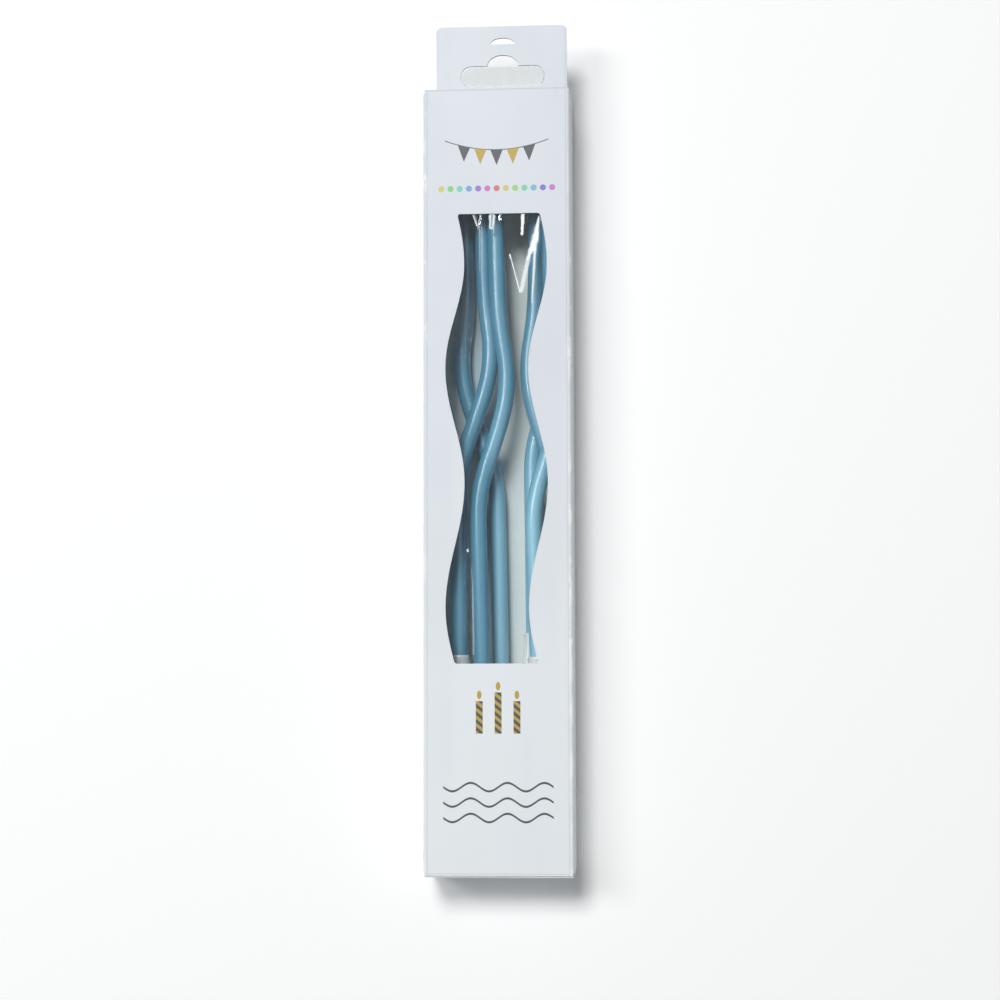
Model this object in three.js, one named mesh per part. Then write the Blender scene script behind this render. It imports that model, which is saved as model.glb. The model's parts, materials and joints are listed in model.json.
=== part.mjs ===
// A hanging card carton with a wavy window, and the six S-curved candles that lie in it.
// Millimetres. The carton lies on its back panel: +X is its right side, +Y runs to the hang tab,
// +Z is the front with the window. The origin is below the middle of the whole piece.

import * as THREE from "three";
import { mergeVertices } from "three/addons/utils/BufferGeometryUtils.js";

// Carton
const CARTON_LENGTH = 220;
const CARTON_WIDTH = 41.5;
const CARTON_DEPTH = 20;
const CARD = 0.45;
const FOLD_RADIUS = 0.6;
const CREASE_GAP = 0.05;
const CURVE_STEPS = 5;
const GLUE_FLAP_WIDTH = 12;
const GLUE_FLAP_END = 14;
const GLUE_FLAP_TAPER = 3;

// Hang tab and its slot
const TAB_HEIGHT = 17.8;
const TAB_WIDTH = 36.9;
const TAB_INSET = 0.8;
const TAB_CORNER = 1.7;
const SLOT_WIDTH = 23.7;
const SLOT_HEIGHT = 6;
const SLOT_BASE = 0.4;
const SLOT_OFFSET = 0.3;
const DOME_WIDTH = 8.7;
const DOME_HEIGHT = 3.1;
const CRESCENT_WIDTH = 7;
const CRESCENT_HEIGHT = 1.8;
const CRESCENT_RISE = 12.6;

// Window and its film. The turns are the heights where the wave turns back, as shares of the
// window's height from the top one down, the first and last of them outside the window.
const WINDOW_WIDTH = 23.15;
const WINDOW_HEIGHT = 125.8;
const WINDOW_BASE = 58.4;
const WINDOW_SHIFT = -0.25;
const WAVE_SWING = 2.67;
const WAVE_TURNS = [1.161, 0.888, 0.653, 0.399, 0.122, -0.13];
const WAVE_STEPS = 42;
const FILM = 0.15;
const FILM_LAP = 4;
const FILM_MARGIN = 1.9;

// Lids, tongues and dust flaps
const LID_SIDE_GAP = 0.3;
const TONGUE_GAP = 0.3;
const TONGUE_LENGTH = 7;
const TONGUE_LEAN = 20;
const TONGUE_TAPER = 3;
const FLAP_GAP = 0.3;
const FLAP_REACH = 14;
const FLAP_TIP = 4;
const FLAP_FRONT_GAP = 3.2;
const FLAP_FRONT_CUT = 2.5;
const FLAP_ROOT = 1.3;

// Candle, straight sizes measured from the rim of its holder
const WAX_RADIUS = 2.35;
const WAX_LENGTH = 138;
const WAX_SEAT_DEPTH = 8;
const WAX_TIP_HEIGHT = 3;
const WAX_TIP_RADIUS = 1.1;
const WAX_TIP_SWELL = 0.35;
const WAX_STEPS = 34;
const WICK_RADIUS = 0.5;
const WICK_LENGTH = 7;
const SWING = 7.3;
const SWING_RUN = 40;
const BEND_HEIGHT = 63.2;
const BULGE = 1.9;
const BULGE_RUN = 12;
const BULGE_RISE = 23;
const SLOPE_STEP = 0.05;
const MERGE_DISTANCE = 1e-4;

// Holder
const SOCKET_CLEARANCE = 0.1;
const RIM_WALL = 0.5;
const RIM_LIP = 0.15;
const RIM_ROUND = 0.35;
const CUP_HEIGHT = 12;
const CUP_RADIUS = 3.8;
const CUP_FOOT = 1.6;
const CUP_FOOT_TUCK = 0.8;
const CUP_HOLLOW = 0.1;
const SPIKE_LENGTH = 24;
const SPIKE_RADIUS = 1.2;
const SPIKE_POINT = 5;
const SPIKE_TIP_RADIUS = 0.25;
const ROUND_SIDES = 12;

// How the candles lie: touching pieces keep this gap
const REST_GAP = 0.3;
const LAYER = 2 * WAX_RADIUS + REST_GAP;
const NEST = 3.45;
const FLOOR_LAYER = CARD + CUP_RADIUS + REST_GAP;

const BACK_TO_TAB = CARTON_LENGTH + TAB_HEIGHT;
const BASE_Y = -BACK_TO_TAB / 2;
const TOP_Y = BASE_Y + CARTON_LENGTH;
const FLAP_DROP = 2 * CARD + FLAP_GAP;
const PANEL_HALF = CARTON_WIDTH / 2 - FOLD_RADIUS;
const TAB_RIGHT = CARTON_WIDTH / 2 - TAB_INSET;
const TAB_LEFT = TAB_RIGHT - TAB_WIDTH;
const SLOT_X = (TAB_LEFT + TAB_RIGHT) / 2 + SLOT_OFFSET;
const SLOT_Y = TOP_Y + SLOT_BASE;

const WALL = CARTON_WIDTH / 2 - CARD;
const HOLDER_LENGTH = SPIKE_LENGTH + CUP_HEIGHT;
const PLAY = CARTON_LENGTH - HOLDER_LENGTH - WAX_LENGTH - WICK_LENGTH;

// Three candles lie round the middle and three against the right side. x is the sideways place of
// the upper straight stretch before the lean: from one of those lines, off in wax radii. low is
// the share of the end play below the spike, lean in degrees, side the way the candle swings, and
// drop how much lower its bend sits, as a share of the swing's run.
const CANDLES = [
  { name: "1", from: 0, off: -3.23, low: 0.551, z: FLOOR_LAYER, lean: 1.1, side: -1, drop: -0.02 },
  { name: "2", from: 0, off: -1.83, low: 0.638, z: FLOOR_LAYER + LAYER, lean: 0.15, side: 1, drop: 0 },
  { name: "3", from: 0, off: 1.06, low: 0.444, z: FLOOR_LAYER + LAYER + NEST, lean: 1.46, side: 1, drop: 0 },
  { name: "4", from: WALL, off: -1.62, low: 0.797, z: FLOOR_LAYER, lean: 0.55, side: 1, drop: 0 },
  { name: "5", from: WALL, off: -4.94, low: 0.359, z: FLOOR_LAYER + LAYER, lean: -0.85, side: -1, drop: -0.14 },
  { name: "6", from: WALL, off: -0.94, low: 0.628, z: FLOOR_LAYER + 2 * LAYER, lean: 1.8, side: 1, drop: 0.25 },
];

const finish = {
  card: { color: 0xe6e9ec, roughness: 0.35, metalness: 0 },
  liner: { color: 0xdfe0dc, roughness: 0.7, metalness: 0 },
  film: { color: 0xf2f7fa, roughness: 0.08, metalness: 0, transparent: true, opacity: 0.3 },
  wax: { color: 0x6ba3bb, roughness: 0.35, metalness: 0 },
  wick: { color: 0xf0ece2, roughness: 0.9, metalness: 0 },
  holder: { color: 0xdfe6ea, roughness: 0.3, metalness: 0, transparent: true, opacity: 0.7 },
};

const root = new THREE.Group();

function piece(name, geometry, kind) {
  const mesh = new THREE.Mesh(geometry, new THREE.MeshStandardMaterial(finish[kind]));
  mesh.name = name;
  return mesh;
}

function outline(points) {
  return new THREE.Shape(points.map(([x, y]) => new THREE.Vector2(x, y)));
}

// A flat sheet of the outline, lying in X and Y.
function sheet(shape, thickness) {
  const steps = { depth: thickness, bevelEnabled: false, curveSegments: CURVE_STEPS };
  return new THREE.ExtrudeGeometry(shape, steps);
}

// A sheet that stands across the carton: the outline's y becomes Z, its thickness runs along +Y.
function standing(shape, thickness) {
  return sheet(shape, thickness).rotateX(Math.PI / 2).translate(0, thickness, 0);
}

function box(x0, x1, y0, y1, z0, z1) {
  const geometry = new THREE.BoxGeometry(x1 - x0, y1 - y0, z1 - z0);
  return geometry.translate((x0 + x1) / 2, (y0 + y1) / 2, (z0 + z1) / 2);
}

// The middle of the window's band at a share of its height: a cosine from turn to turn.
function waveX(height) {
  const i = WAVE_TURNS.findLastIndex((turn) => turn >= height);
  const share = (WAVE_TURNS[i] - height) / (WAVE_TURNS[i] - WAVE_TURNS[i + 1]);
  const sign = i % 2 === 0 ? -1 : 1;
  return WINDOW_SHIFT + sign * WAVE_SWING * Math.cos(Math.PI * share);
}

function windowHole() {
  const side = (sign, i) => {
    const x = waveX(i / WAVE_STEPS) + (sign * WINDOW_WIDTH) / 2;
    return new THREE.Vector2(x, BASE_Y + WINDOW_BASE + (i / WAVE_STEPS) * WINDOW_HEIGHT);
  };
  const count = WAVE_STEPS + 1;
  const right = Array.from({ length: count }, (_, i) => side(1, i));
  const left = Array.from({ length: count }, (_, i) => side(-1, count - 1 - i));
  return new THREE.Path([...right, ...left]);
}

function tabOutline(shape) {
  const top = TOP_Y + TAB_HEIGHT;
  shape.lineTo(TAB_RIGHT, top - TAB_CORNER);
  shape.absarc(TAB_RIGHT - TAB_CORNER, top - TAB_CORNER, TAB_CORNER, 0, Math.PI / 2, false);
  shape.absarc(TAB_LEFT + TAB_CORNER, top - TAB_CORNER, TAB_CORNER, Math.PI / 2, Math.PI, false);
}

// The long slot with round ends and the dome over its middle.
function hangSlot() {
  const end = SLOT_HEIGHT / 2;
  const middle = SLOT_Y + end;
  const hole = new THREE.Path();
  hole.moveTo(SLOT_X - SLOT_WIDTH / 2 + end, SLOT_Y);
  hole.absarc(SLOT_X + SLOT_WIDTH / 2 - end, middle, end, -Math.PI / 2, Math.PI / 2, false);
  hole.absellipse(SLOT_X, SLOT_Y + SLOT_HEIGHT, DOME_WIDTH / 2, DOME_HEIGHT, 0, Math.PI, false, 0);
  hole.absarc(SLOT_X - SLOT_WIDTH / 2 + end, middle, end, Math.PI / 2, 1.5 * Math.PI, false);
  return hole;
}

function crescentHole() {
  const y = TOP_Y + CRESCENT_RISE;
  const hole = new THREE.Path();
  hole.absellipse(SLOT_X, y, CRESCENT_WIDTH / 2, CRESCENT_HEIGHT, 0, Math.PI, false, 0);
  hole.lineTo(SLOT_X + CRESCENT_WIDTH / 2, y);
  return hole;
}

// Front panel, which runs on upwards as the hang tab's front ply
function frontPanel() {
  const shape = new THREE.Shape();
  shape.moveTo(-PANEL_HALF, BASE_Y + CARD);
  shape.lineTo(PANEL_HALF, BASE_Y + CARD);
  shape.lineTo(PANEL_HALF, TOP_Y);
  shape.lineTo(TAB_RIGHT, TOP_Y);
  tabOutline(shape);
  shape.lineTo(TAB_LEFT, TOP_Y);
  shape.lineTo(-PANEL_HALF, TOP_Y);
  shape.holes = [windowHole(), hangSlot(), crescentHole()];
  const mesh = piece("front_panel", sheet(shape, CARD), "card");
  mesh.position.z = CARTON_DEPTH - CARD;
  return mesh;
}

// The tab is folded over at its top edge, and this is the ply behind, with the same holes.
function tabBackPly() {
  const shape = new THREE.Shape();
  shape.moveTo(TAB_LEFT, TOP_Y);
  shape.lineTo(TAB_RIGHT, TOP_Y);
  tabOutline(shape);
  shape.holes = [hangSlot(), crescentHole()];
  const mesh = piece("hang_tab_back_ply", sheet(shape, CARD), "liner");
  mesh.position.z = CARTON_DEPTH - 2 * CARD;
  return mesh;
}

// The long slot's punched piece, left hanging in the ply behind. A hook pushes it back.
function slotFlap() {
  const end = SLOT_HEIGHT / 2 - FLAP_GAP / 2;
  const middle = SLOT_Y + CREASE_GAP + end;
  const reach = SLOT_WIDTH / 2 - FLAP_GAP - end;
  const shape = new THREE.Shape();
  shape.moveTo(SLOT_X - reach, middle - end);
  shape.absarc(SLOT_X + reach, middle, end, -Math.PI / 2, Math.PI / 2, false);
  shape.absarc(SLOT_X - reach, middle, end, Math.PI / 2, 1.5 * Math.PI, false);
  const mesh = piece("slot_flap", sheet(shape, CARD), "liner");
  mesh.position.z = CARTON_DEPTH - 2 * CARD;
  return mesh;
}

function windowFilm() {
  const x = PANEL_HALF - FILM_MARGIN;
  const y0 = BASE_Y + WINDOW_BASE - FILM_LAP;
  const y1 = BASE_Y + WINDOW_BASE + WINDOW_HEIGHT + FILM_LAP;
  const z = CARTON_DEPTH - CARD;
  return piece("window_film", box(-x, x, y0, y1, z - FILM, z), "film");
}

function backPanel() {
  const geometry = box(-PANEL_HALF, PANEL_HALF, BASE_Y, TOP_Y - CARD, 0, CARD);
  return piece("back_panel", geometry, "card");
}

// A side panel with the rounded folds at its two long edges: side is -1 for left, 1 for right.
function sidePanel(name, side) {
  const shape = new THREE.Shape();
  const x = CARTON_WIDTH / 2 - FOLD_RADIUS;
  const inner = FOLD_RADIUS - CARD;
  const top = CARTON_DEPTH - FOLD_RADIUS;
  shape.moveTo(x, 0);
  shape.absarc(x, FOLD_RADIUS, FOLD_RADIUS, -Math.PI / 2, 0, false);
  shape.absarc(x, top, FOLD_RADIUS, 0, Math.PI / 2, false);
  shape.lineTo(x, CARTON_DEPTH - CARD);
  shape.absarc(x, top, inner, Math.PI / 2, 0, true);
  shape.absarc(x, FOLD_RADIUS, inner, 0, -Math.PI / 2, true);
  const length = CARTON_LENGTH - 2 * FLAP_DROP;
  const mesh = piece(name, standing(shape, length), "card");
  // A half turn about the carton's long axis makes the left side from the right.
  mesh.position.set(0, BASE_Y + FLAP_DROP, side > 0 ? 0 : CARTON_DEPTH);
  mesh.rotation.y = side > 0 ? 0 : Math.PI;
  return mesh;
}

// The seam flap, glued inside the left side panel.
function glueFlap() {
  const low = FLAP_DROP + GLUE_FLAP_END;
  const high = CARTON_LENGTH - FLAP_DROP - GLUE_FLAP_END;
  const z0 = FOLD_RADIUS;
  const z1 = z0 + GLUE_FLAP_WIDTH;
  const shape = outline([
    [z0, low],
    [z1, low + GLUE_FLAP_TAPER],
    [z1, high - GLUE_FLAP_TAPER],
    [z0, high],
  ]);
  const mesh = piece("glue_flap", sheet(shape, CARD), "liner");
  mesh.rotation.y = -Math.PI / 2;
  mesh.position.set(-CARTON_WIDTH / 2 + 2 * CARD, BASE_Y, 0);
  return mesh;
}

// One end of the carton in its own frame: +Y points out of the end, y = 0 is the lid's outer face,
// and z = 0 is the outer face of the panel that the lid hangs on.
// plies is how many sheets of card the lid swings past: the tab has two.
function endClosure(end, plies) {
  const group = new THREE.Group();
  const half = CARTON_WIDTH / 2 - LID_SIDE_GAP;
  const lidEnd = CARTON_DEPTH - plies * CARD - TONGUE_GAP;
  const lid = box(-half, half, -CARD, 0, CARD + CREASE_GAP, lidEnd);
  group.add(piece(end + "_lid", lid, "card"));
  group.add(tongue(end, half, lidEnd));
  for (const [name, side] of [["left", -1], ["right", 1]]) {
    group.add(dustFlap(end + "_dust_flap_" + name, side));
  }
  return group;
}

// The tongue leans away from the panel that it tucks behind, so that it draws out freely.
function tongue(end, half, lidEnd) {
  const tip = half - TONGUE_TAPER;
  const shape = outline([
    [-half, 0],
    [-tip, -TONGUE_LENGTH],
    [tip, -TONGUE_LENGTH],
    [half, 0],
  ]);
  const mesh = piece(end + "_tongue", sheet(shape, CARD).translate(0, 0, -CARD), "card");
  const lean = THREE.MathUtils.degToRad(TONGUE_LEAN);
  mesh.rotation.x = lean;
  mesh.position.set(0, -CARD - CREASE_GAP - CARD * Math.sin(lean), lidEnd);
  return mesh;
}

// A dust flap folds in from a side panel. Its slanting edge lets the lid swing past it.
function dustFlap(name, side) {
  const fold = CARTON_WIDTH / 2 - CARD;
  const high = CARTON_DEPTH - FLAP_FRONT_GAP;
  const tip = fold - FLAP_REACH;
  const shape = outline(
    [
      [fold, FLAP_ROOT],
      [fold, high],
      [tip + FLAP_FRONT_CUT, high],
      [tip, high - FLAP_FRONT_CUT],
      [tip, high - FLAP_FRONT_CUT - FLAP_TIP],
    ].map(([x, z]) => [side * x, z]),
  );
  const mesh = piece(name, standing(shape, CARD), "card");
  mesh.position.y = -FLAP_DROP;
  return mesh;
}

// The candle's sideways place at a height over its holder's rim: a smooth swing from one straight
// stretch to the other, and a bulge above it.
function swingAt(height, drop, side) {
  const bend = BEND_HEIGHT - drop * SWING_RUN;
  const t = (height - bend) / SWING_RUN + 0.5;
  const s = THREE.MathUtils.clamp(t, 0, 1);
  const smooth = s * s * s * (s * (6 * s - 15) + 10);
  const hump = Math.exp(-(((height - bend - BULGE_RISE) / BULGE_RUN) ** 2));
  return side * (SWING * (smooth - 1) + BULGE * hump);
}

// Bends a straight turned shape, whose axis is Y, along the candle's curve.
function bendAlong(geometry, drop, side) {
  const position = geometry.getAttribute("position");
  for (let i = 0; i < position.count; i++) {
    const x = position.getX(i);
    const y = position.getY(i);
    const here = swingAt(y, drop, side);
    const slope = (swingAt(y + SLOPE_STEP, drop, side) - here) / SLOPE_STEP;
    const norm = Math.hypot(1, slope);
    position.setX(i, here + x / norm);
    position.setY(i, y - (x * slope) / norm);
  }
  geometry.deleteAttribute("normal");
  geometry.deleteAttribute("uv");
  const closed = mergeVertices(geometry, MERGE_DISTANCE);
  closed.computeVertexNormals();
  return closed;
}

function turned(points, sides) {
  return new THREE.LatheGeometry(points.map(([r, y]) => new THREE.Vector2(r, y)), sides);
}

function waxProfile() {
  const foot = -WAX_SEAT_DEPTH;
  const shoulder = WAX_LENGTH - WAX_TIP_HEIGHT;
  const points = [[0, foot]];
  for (let i = 0; i <= WAX_STEPS; i++) {
    points.push([WAX_RADIUS, foot + ((shoulder - foot) * i) / WAX_STEPS]);
  }
  const swell = (WAX_RADIUS + WAX_TIP_RADIUS) / 2 + WAX_TIP_SWELL;
  points.push([swell, WAX_LENGTH - WAX_TIP_HEIGHT / 3]);
  points.push([WAX_TIP_RADIUS, WAX_LENGTH], [0, WAX_LENGTH]);
  return points;
}

function wickProfile() {
  const end = WAX_LENGTH + WICK_LENGTH;
  return [
    [0, WAX_LENGTH],
    [WICK_RADIUS, WAX_LENGTH],
    [WICK_RADIUS, end],
    [0, end],
  ];
}

function holderProfile() {
  const bore = WAX_RADIUS + SOCKET_CLEARANCE;
  const foot = -CUP_HEIGHT;
  const spikeEnd = foot - SPIKE_LENGTH;
  return [
    [0, spikeEnd],
    [SPIKE_TIP_RADIUS, spikeEnd],
    [SPIKE_RADIUS, spikeEnd + SPIKE_POINT],
    [SPIKE_RADIUS, foot],
    [CUP_RADIUS - CUP_FOOT_TUCK, foot],
    [CUP_RADIUS, foot + CUP_FOOT],
    [(CUP_RADIUS + bore + RIM_WALL) / 2 - CUP_HOLLOW, foot / 2],
    [bore + RIM_WALL, -RIM_ROUND],
    [bore + RIM_LIP, 0],
    [bore, -RIM_ROUND],
    [bore, -WAX_SEAT_DEPTH - REST_GAP],
    [0, -WAX_SEAT_DEPTH - REST_GAP],
  ];
}

function candle({ name, from, off, low, z, lean, side, drop }) {
  const group = new THREE.Group();
  const parts = [
    ["wax", waxProfile(), ROUND_SIDES, "wax"],
    ["wick", wickProfile(), ROUND_SIDES / 2, "wick"],
    ["holder", holderProfile(), ROUND_SIDES, "holder"],
  ];
  for (const [label, profile, sides, kind] of parts) {
    const geometry = bendAlong(turned(profile, sides), drop, side);
    group.add(piece("candle_" + name + "_" + label, geometry, kind));
  }
  group.position.set(from + off * WAX_RADIUS, BASE_Y + HOLDER_LENGTH + low * PLAY, z);
  group.rotation.z = THREE.MathUtils.degToRad(lean);
  return group;
}

root.add(frontPanel(), tabBackPly(), slotFlap(), windowFilm(), backPanel(), glueFlap());
root.add(sidePanel("left_side_panel", -1), sidePanel("right_side_panel", 1));

// The top lid hangs on the back panel and the bottom lid on the front panel.
const topEnd = endClosure("top", 2);
topEnd.position.y = TOP_Y;
const bottomEnd = endClosure("bottom", 1);
bottomEnd.position.set(0, BASE_Y, CARTON_DEPTH);
bottomEnd.rotation.x = Math.PI;
root.add(topEnd, bottomEnd);

for (const place of CANDLES) root.add(candle(place));

export default root;
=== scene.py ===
# %% [markdown]
# # A hanging carton of curved candles
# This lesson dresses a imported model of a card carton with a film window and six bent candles. The
# model's own solids are the frame: they say where everything is and what moves. Each step says
# what the real piece is, how it could be made, and why this way was picked.

import json
import math
from functools import reduce

import bpy
from mathutils import Matrix, Vector, noise as field

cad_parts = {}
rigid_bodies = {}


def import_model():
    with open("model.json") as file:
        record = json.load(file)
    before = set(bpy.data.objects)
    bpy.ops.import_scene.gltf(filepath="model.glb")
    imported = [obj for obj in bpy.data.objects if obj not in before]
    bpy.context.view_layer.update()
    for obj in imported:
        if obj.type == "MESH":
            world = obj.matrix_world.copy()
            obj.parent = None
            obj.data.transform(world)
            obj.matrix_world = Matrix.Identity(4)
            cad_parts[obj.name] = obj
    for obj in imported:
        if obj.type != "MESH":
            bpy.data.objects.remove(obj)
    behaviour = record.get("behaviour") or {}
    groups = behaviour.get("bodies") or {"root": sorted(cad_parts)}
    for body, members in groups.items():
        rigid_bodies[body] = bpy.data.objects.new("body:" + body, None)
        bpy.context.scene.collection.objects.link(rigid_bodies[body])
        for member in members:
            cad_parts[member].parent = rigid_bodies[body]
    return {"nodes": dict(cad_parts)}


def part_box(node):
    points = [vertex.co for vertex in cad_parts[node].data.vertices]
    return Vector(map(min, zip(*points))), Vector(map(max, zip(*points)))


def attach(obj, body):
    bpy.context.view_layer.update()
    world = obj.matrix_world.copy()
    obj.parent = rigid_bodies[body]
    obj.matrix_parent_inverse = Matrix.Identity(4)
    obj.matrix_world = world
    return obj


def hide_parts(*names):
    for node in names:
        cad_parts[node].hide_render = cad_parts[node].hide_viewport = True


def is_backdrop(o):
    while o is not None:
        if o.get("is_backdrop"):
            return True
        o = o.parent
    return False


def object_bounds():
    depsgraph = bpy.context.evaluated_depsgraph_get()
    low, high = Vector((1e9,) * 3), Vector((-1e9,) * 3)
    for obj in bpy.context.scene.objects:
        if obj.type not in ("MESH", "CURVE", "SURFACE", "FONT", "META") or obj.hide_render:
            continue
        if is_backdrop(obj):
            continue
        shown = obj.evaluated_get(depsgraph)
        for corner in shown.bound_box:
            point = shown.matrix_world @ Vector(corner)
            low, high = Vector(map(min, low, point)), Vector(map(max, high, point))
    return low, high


for leftover in list(bpy.data.objects):
    bpy.data.objects.remove(leftover)
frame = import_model()
cad_low, cad_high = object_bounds()
MM = 0.001
BASE = cad_low.y

# %% [markdown]
# ## Camera
# The carton lies on its back, so the camera hangs over it and looks almost straight down. Its
# place was worked out from the carton's corners in the view to match, which also gives the lens.
# A long lens keeps the panel's edges nearly parallel.

# %% Camera
camera_data = bpy.data.cameras.new("camera")
camera_data.lens = 77.38
camera_data.sensor_width = 36
camera_data.clip_start = 0.01
camera_data.clip_end = 20
camera = bpy.data.objects.new("camera", camera_data)
camera.location = (0.04345, -0.06344, 0.61246)
camera.rotation_euler = [math.radians(a) for a in (4.623, 4.141, -0.169)]
scene = bpy.context.scene
scene.collection.objects.link(camera)
scene.camera = camera
print("camera", round(camera.location.length, 3), "m from the origin")

# %% [markdown]
# ## Modelling helpers
# Every piece below starts as a primitive and is shaped with the same few hand moves: pick some
# corners, edges or faces by their place, then extrude, bevel, cut or thicken. An operator works on
# all that is selected, so each helper clears the selection first.


# %% Select and edit
def deselect():
    """Clears the selection of objects."""
    bpy.ops.object.select_all(action="DESELECT")


def only(*objects):
    """Leaves just these objects selected, the first one active."""
    deselect()
    for obj in objects:
        obj.select_set(True)
    bpy.context.view_layer.objects.active = objects[0]


def pick(obj, kind, test):
    """Opens edit mode with the corners, edges or faces selected whose middle passes the test."""
    only(obj)
    bpy.ops.object.mode_set(mode="EDIT")
    bpy.ops.mesh.select_mode(type=kind)
    bpy.ops.mesh.select_all(action="DESELECT")
    bpy.ops.object.mode_set(mode="OBJECT")
    mesh = obj.data
    spots = mesh.vertices
    if kind == "VERT":
        for corner in mesh.vertices:
            corner.select = test(corner.co)
    if kind == "EDGE":
        for edge in mesh.edges:
            a, b = (spots[i].co for i in edge.vertices)
            edge.select = test((a + b) / 2, (b - a).normalized())
    if kind == "FACE":
        for face in mesh.polygons:
            face.select = test(face.center, face.normal)
    bpy.ops.object.mode_set(mode="EDIT")


def done():
    """Closes edit mode and clears the selection."""
    bpy.ops.object.mode_set(mode="OBJECT")
    deselect()


def named(name):
    """Names the object that an operator has just added."""
    obj = bpy.context.object
    obj.name = name
    obj.data.name = name
    return obj


def place(obj):
    """Moves an object's place, turn and size into its mesh."""
    only(obj)
    bpy.ops.object.transform_apply(location=True, rotation=True, scale=True)
    deselect()
    return obj


def modify(obj, kind, **settings):
    """Puts a modifier on an object and makes its result the mesh itself."""
    modifier = obj.modifiers.new(kind.lower(), kind)
    for label, value in settings.items():
        setattr(modifier, label, value)
    only(obj)
    bpy.ops.object.modifier_apply(modifier=modifier.name)
    deselect()


print("helpers ready")


# %% Blanks, cuts and edges
EDGE_WIDTH = 0.07


def primitive(name, operator, lengths, spot, **settings):
    """Adds a primitive and gives it its size and place in millimetres."""
    deselect()
    operator(**settings)
    obj = named(name)
    obj.scale = [length * MM for length in lengths]
    obj.location = [part * MM for part in spot]
    return place(obj)


def blank(name, x0, x1, y0, y1, z):
    """A flat rectangle that faces up, sizes in millimetres."""
    spot = ((x0 + x1) / 2, (y0 + y1) / 2, z)
    return primitive(name, bpy.ops.mesh.primitive_plane_add, (x1 - x0, y1 - y0, 1), spot, size=1)


def round_corners(obj, test, radius, steps):
    """Rounds the flat corners that pass the test."""
    pick(obj, "VERT", test)
    bpy.ops.mesh.bevel(offset=radius * MM, segments=steps, affect="VERTICES")
    done()


def slit(obj, point, away, test=lambda middle, normal: True, **settings):
    """Cuts the faces that pass the test along a plane through a point in millimetres."""
    pick(obj, "FACE", test)
    bpy.ops.mesh.bisect(plane_co=[c * MM for c in point], plane_no=away, **settings)
    done()


def snip(obj, point, away):
    """Cuts off what lies on the far side of a line, as with scissors."""
    slit(obj, point, away, clear_outer=True)


def thicken(obj, thickness, offset=-1):
    """Gives a sheet its thickness. The back takes the second finish and the rim the third."""
    finishes = {"material_offset": 1, "material_offset_rim": 2}
    wall = {"thickness": thickness * MM, "offset": offset, "use_even_offset": True}
    modify(obj, "SOLIDIFY", **wall, **finishes)


def punch(obj, cutter):
    """Cuts a hole with another closed shape, which is then thrown away."""
    way = {"operation": "DIFFERENCE", "solver": "EXACT", "material_mode": "TRANSFER"}
    modify(obj, "BOOLEAN", object=cutter, **way)
    bpy.data.objects.remove(cutter)


def soften(obj):
    """Takes the sharpness off every edge of a card piece. Flat faces stay flat."""
    sharp = {"limit_method": "ANGLE", "angle_limit": math.radians(40)}
    modify(obj, "BEVEL", width=EDGE_WIDTH * MM, segments=2, use_clamp_overlap=True, **sharp)
    smooth(obj)
    modify(obj, "WEIGHTED_NORMAL", keep_sharp=True)


def smooth(obj, angle=40):
    """Shades smooth over every edge that turns less than the angle."""
    only(obj)
    bpy.ops.object.shade_smooth_by_angle(angle=math.radians(angle))
    deselect()


print("shaping helpers ready")

# %% [markdown]
# ## Shader helpers
# A pattern here is arithmetic on a point's own place in the piece. `calc` writes one step of that
# arithmetic, and `effect` wraps several steps as a group with named sockets, so that more than one
# finish can use the same grain or scuff with its own values. Nodes are always added to one open
# sheet: the group or material that was begun last.


# %% Node helpers
sheet = None


def connect(value, socket):
    """Links a socket to an input, or writes a number or colour into it."""
    if isinstance(value, bpy.types.NodeSocket):
        sheet.links.new(value, socket)
    else:
        socket.default_value = value


def feed(node, **values):
    """Connects values to a node's inputs by name, with _ for a space."""
    for label, value in values.items():
        connect(value, node.inputs[label.replace("_", " ")])


def new(kind, **values):
    """Adds a shader node with its values to the open sheet."""
    node = sheet.nodes.new("ShaderNode" + kind)
    feed(node, **values)
    return node


def calc(operation, *values, clamp=False):
    """One Math node. Returns its result."""
    node = new("Math")
    node.operation = operation
    node.use_clamp = clamp
    for value, socket in zip(values, node.inputs):
        connect(value, socket)
    return node.outputs[0]


def fold_up(operation):
    """Makes a function that joins any number of values with one operation."""
    return lambda *values: reduce(lambda a, b: calc(operation, a, b), values)


add, sub, mul, most = (fold_up(kind) for kind in ("ADD", "SUBTRACT", "MULTIPLY", "MAXIMUM"))


def apart(value, middle):
    """How far a value is from a middle."""
    return calc("ABSOLUTE", sub(value, middle))


def axes(place):
    """The three parts of a place."""
    return tuple(new("SeparateXYZ", Vector=place).outputs)


def ease(value, low, high, to_low=0.0, to_high=1.0):
    """A smooth step of value from low to high."""
    sizes = {"From_Min": low, "From_Max": high, "To_Min": to_low, "To_Max": to_high}
    node = new("MapRange", Value=value, **sizes)
    node.interpolation_type = "SMOOTHSTEP"
    return node.outputs["Result"]


def blend(share, first, second):
    """Mixes two colours."""
    node = new("Mix")
    node.data_type = "RGBA"
    feed(node, Factor=share, A=first, B=second)
    return node.outputs["Result"]


def noise(place, scale, detail, rough=0.5, stretch=None):
    """Noise at a place, stretched along one axis if asked."""
    if stretch:
        place = new("Mapping", Vector=place, Scale=stretch).outputs["Vector"]
    node = new("TexNoise", Vector=place, Scale=scale, Detail=detail, Roughness=rough)
    return node.outputs["Fac"]


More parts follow.
